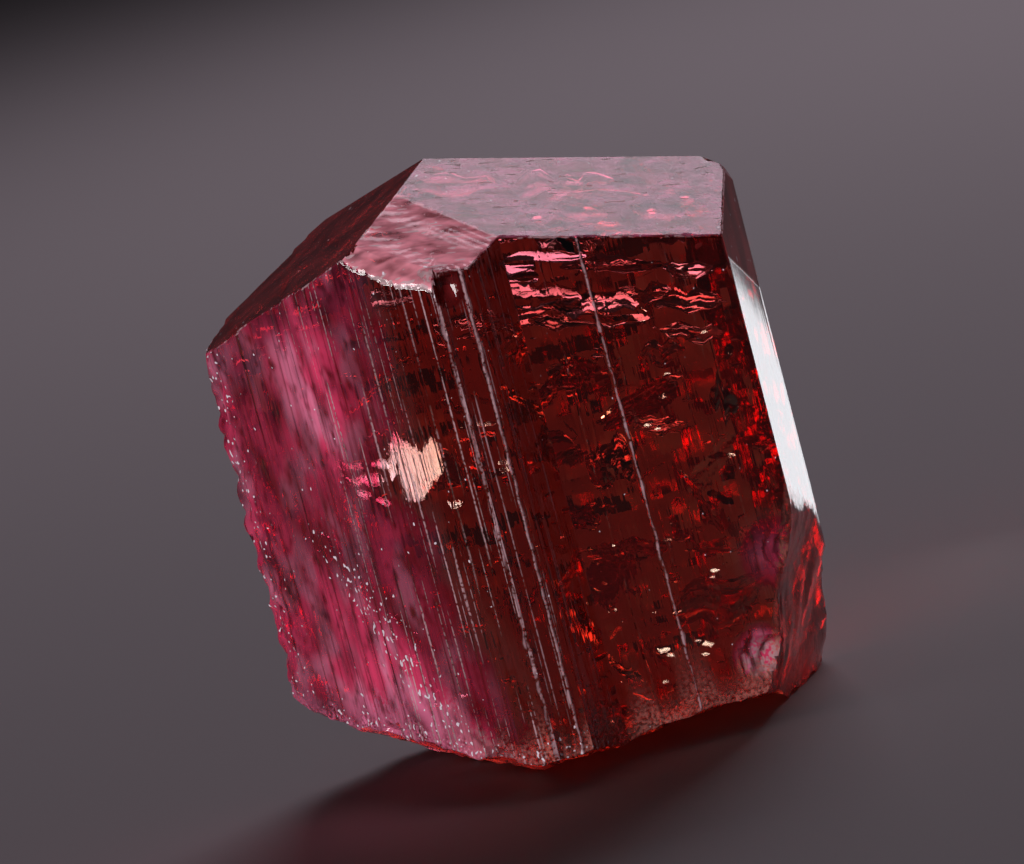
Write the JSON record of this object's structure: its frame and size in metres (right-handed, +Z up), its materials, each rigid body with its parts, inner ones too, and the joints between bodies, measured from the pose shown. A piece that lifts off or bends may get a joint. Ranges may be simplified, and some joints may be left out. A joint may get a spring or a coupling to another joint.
{
  "type": "tourmaline crystal",
  "caption": "Stout striated tourmaline prism with a low three-faced pyramid on top, standing on its broken base as a display or study specimen.",
  "frame": {"origin": "on the ground plane, under the middle of the crystal's box", "axes": "+Z up the prism axis to the pyramid's tip, +X right along the widest way, +Y away from the broad front face"},
  "size_m": [0.045, 0.0314, 0.049],
  "materials": {
    "tourmaline": "see-through deep red crystal, brownish in the thick parts and pink at the left side, glassy on the grown faces and frosted where it is broken"
  },
  "bodies": {
    "root": {"crystal": "tourmaline"}
  },
  "joints": []
}
